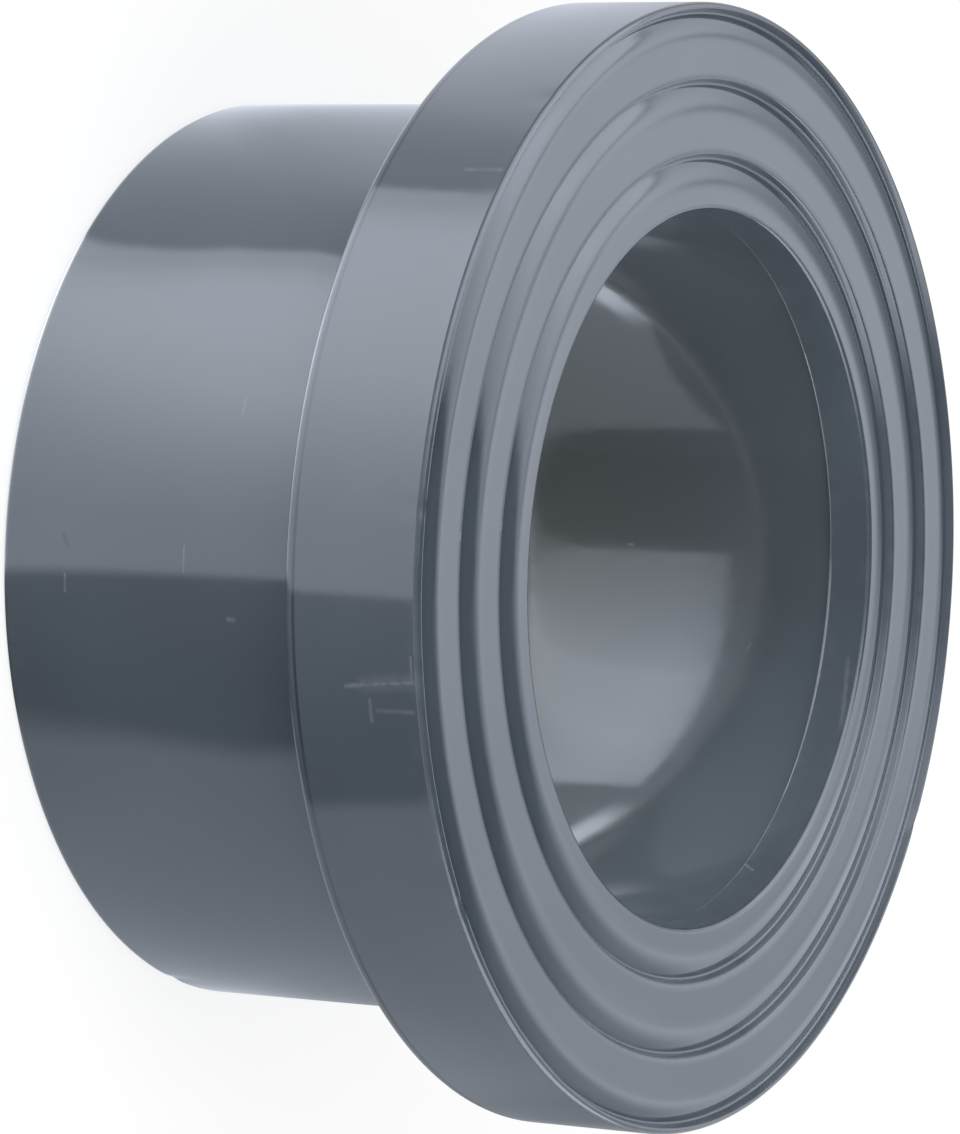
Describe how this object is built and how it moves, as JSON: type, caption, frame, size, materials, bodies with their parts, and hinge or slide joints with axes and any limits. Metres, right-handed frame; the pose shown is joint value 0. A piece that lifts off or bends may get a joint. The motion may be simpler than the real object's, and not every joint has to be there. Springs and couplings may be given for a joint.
{
  "type": "lap joint stub end",
  "caption": "Plastic stub end for a lap joint: a socket barrel with a thick collar whose sealing face has concentric grooves. A loose ring clamps it.",
  "frame": {"origin": "centre of the barrel's end face, where the socket opens", "axes": "+Z along the fitting's axis, from the socket mouth to the grooved sealing face; the part is round, so +X and +Y are any two square directions"},
  "size_m": [0.061, 0.061, 0.029],
  "materials": {
    "grey_pvc": "moulded slate-grey rigid PVC, glossy, with fine moulding marks and light handling wear"
  },
  "bodies": {
    "root": {"stub_end": "grey_pvc"}
  },
  "joints": []
}
